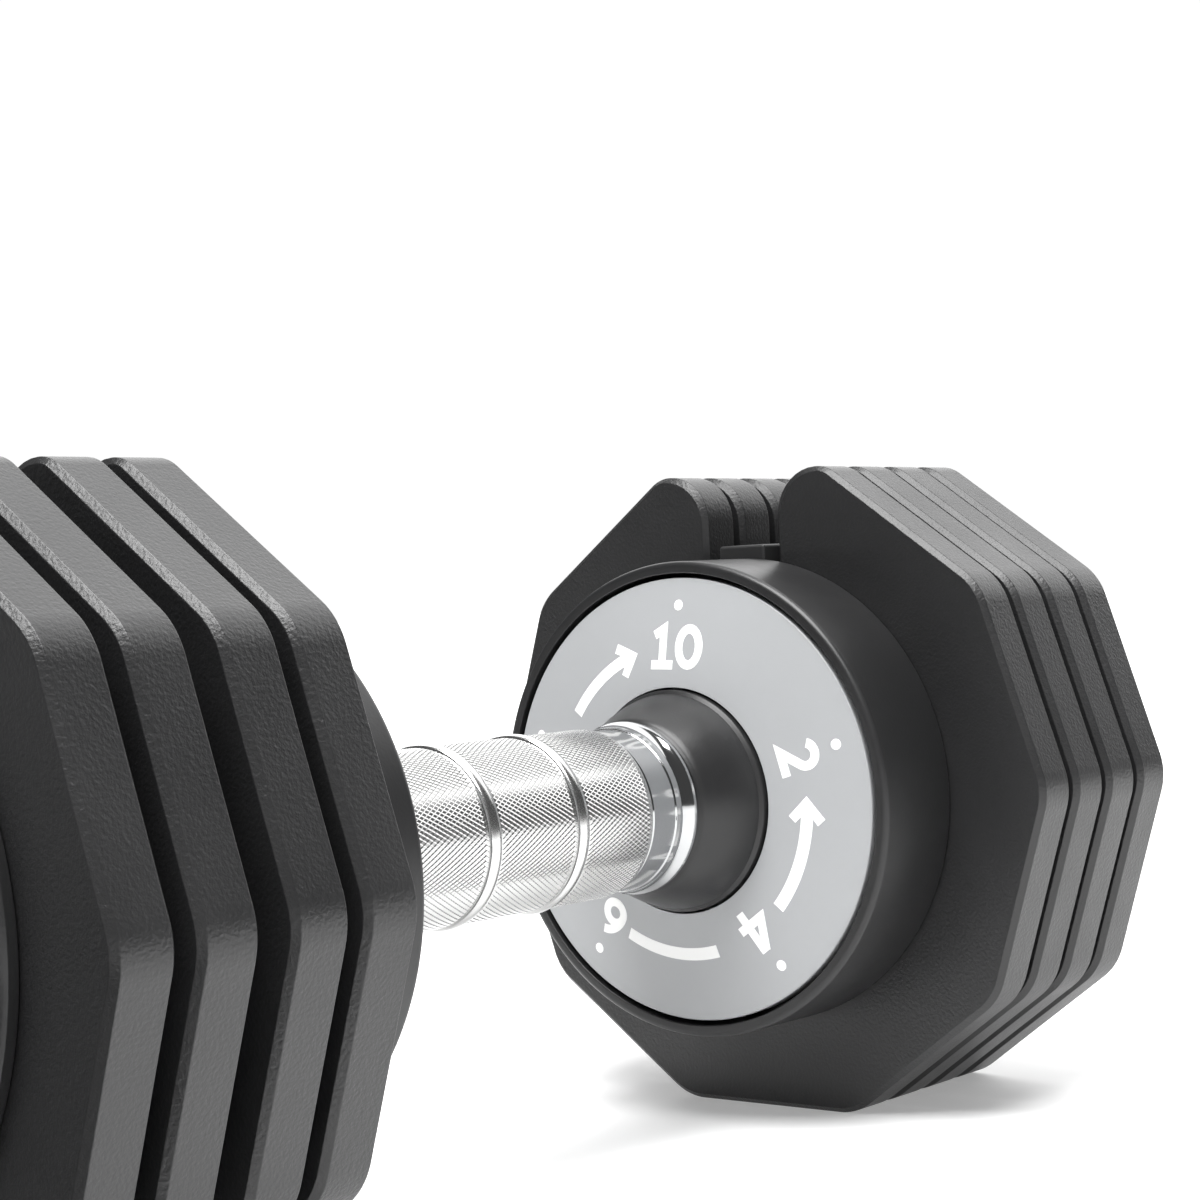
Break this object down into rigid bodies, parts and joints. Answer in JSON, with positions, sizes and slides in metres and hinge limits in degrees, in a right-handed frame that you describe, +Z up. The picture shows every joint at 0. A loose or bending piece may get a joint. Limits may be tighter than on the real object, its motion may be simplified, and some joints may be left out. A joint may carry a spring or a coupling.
{
  "type": "adjustable dumbbell",
  "caption": "Twist-handle adjustable dumbbell: knurled chrome grip, numbered grey dials in black drums, and notched polygonal plates at each end.",
  "frame": {"origin": "middle of the footprint, on the surface the plates stand on", "axes": "+X along the handle to the far end, +Y across, +Z up through the plates' notches"},
  "size_m": [0.2952, 0.1416, 0.136],
  "materials": {
    "coated_plate": "black textured coating, fine pebble",
    "drum_plastic": "satin black moulded plastic",
    "cover_plastic": "satin black moulded plastic",
    "dial_plastic": "satin grey, printed white numbers",
    "chrome": "bright chrome plating, knurled on the grip",
    "steel": "turned and zinc plated steel",
    "rail_steel": "blackened steel",
    "spring_steel": "drawn spring wire",
    "bronze": "sintered bronze",
    "black_screw": "black zinc plated steel"
  },
  "bodies": {
    "root": {"align_bar": "steel", "drum_housing_far": "drum_plastic", "drum_back_plate_far": "drum_plastic", "tube_bearing_far": "bronze", "bolt_bush_far": "bronze", "carrier_rail_far": "rail_steel", "rail_screw_far": "steel", "back_plate_screw_1_far": "steel", "back_plate_screw_2_far": "steel", "back_plate_screw_3_far": "steel", "weight_plate_1_far": "coated_plate", "weight_plate_2_far": "coated_plate", "weight_plate_3_far": "coated_plate", "weight_plate_4_far": "coated_plate", "outer_cover_far": "cover_plastic", "cover_screw_1_far": "black_screw", "cover_screw_2_far": "black_screw", "cover_screw_3_far": "black_screw", "drum_housing_near": "drum_plastic", "drum_back_plate_near": "drum_plastic", "tube_bearing_near": "bronze", "bolt_bush_near": "bronze", "carrier_rail_near": "rail_steel", "rail_screw_near": "steel", "back_plate_screw_1_near": "steel", "back_plate_screw_2_near": "steel", "back_plate_screw_3_near": "steel", "weight_plate_1_near": "coated_plate", "weight_plate_2_near": "coated_plate", "weight_plate_3_near": "coated_plate", "weight_plate_4_near": "coated_plate", "outer_cover_near": "cover_plastic", "cover_screw_1_near": "black_screw", "cover_screw_2_near": "black_screw", "cover_screw_3_near": "black_screw"},
    "handle": {"grip_sleeve": "chrome", "cam_tube": "steel", "collar_far": "chrome", "hub_far": "drum_plastic", "dial_far": "dial_plastic", "index_ring_far": "steel", "retaining_ring_far": "steel", "collar_near": "chrome", "hub_near": "drum_plastic", "dial_near": "dial_plastic", "index_ring_near": "steel", "retaining_ring_near": "steel"},
    "bolt_far": {"lock_bolt_far": "steel", "follower_pin_far": "steel"},
    "bolt_near": {"lock_bolt_near": "steel", "follower_pin_near": "steel"},
    "plunger_far": {"lock_plunger_far": "steel", "plunger_spring_far": "spring_steel"},
    "plunger_near": {"lock_plunger_near": "steel", "plunger_spring_near": "spring_steel"}
  },
  "joints": [
    {"name": "handle_turn", "type": "hinge", "parent": "root", "child": "handle", "pos_m": [0.0026, 0, 0.068], "axis": [1, 0, 0], "range_deg": [0, 288]},
    {"name": "bolt_far_slide", "type": "slide", "parent": "root", "child": "bolt_far", "axis": [-1, 0, 0], "range_m": [0, 0.0544]},
    {"name": "bolt_near_slide", "type": "slide", "parent": "root", "child": "bolt_near", "axis": [1, 0, 0], "range_m": [0, 0.0544]},
    {"name": "plunger_far_drop", "type": "slide", "parent": "root", "child": "plunger_far", "axis": [0, 0, -1], "range_m": [0, 0.004], "stiffness_N_per_m": 300, "springref_m": 0.008, "deforming": ["plunger_spring_far"]},
    {"name": "plunger_near_drop", "type": "slide", "parent": "root", "child": "plunger_near", "axis": [0, 0, -1], "range_m": [0, 0.004], "stiffness_N_per_m": 300, "springref_m": 0.008, "deforming": ["plunger_spring_near"]}
  ],
  "couplings": [
    {"joint": "bolt_far_slide", "follows": "handle_turn", "m_per_rad": 0.01082},
    {"joint": "bolt_near_slide", "follows": "handle_turn", "m_per_rad": 0.01082}
  ]
}
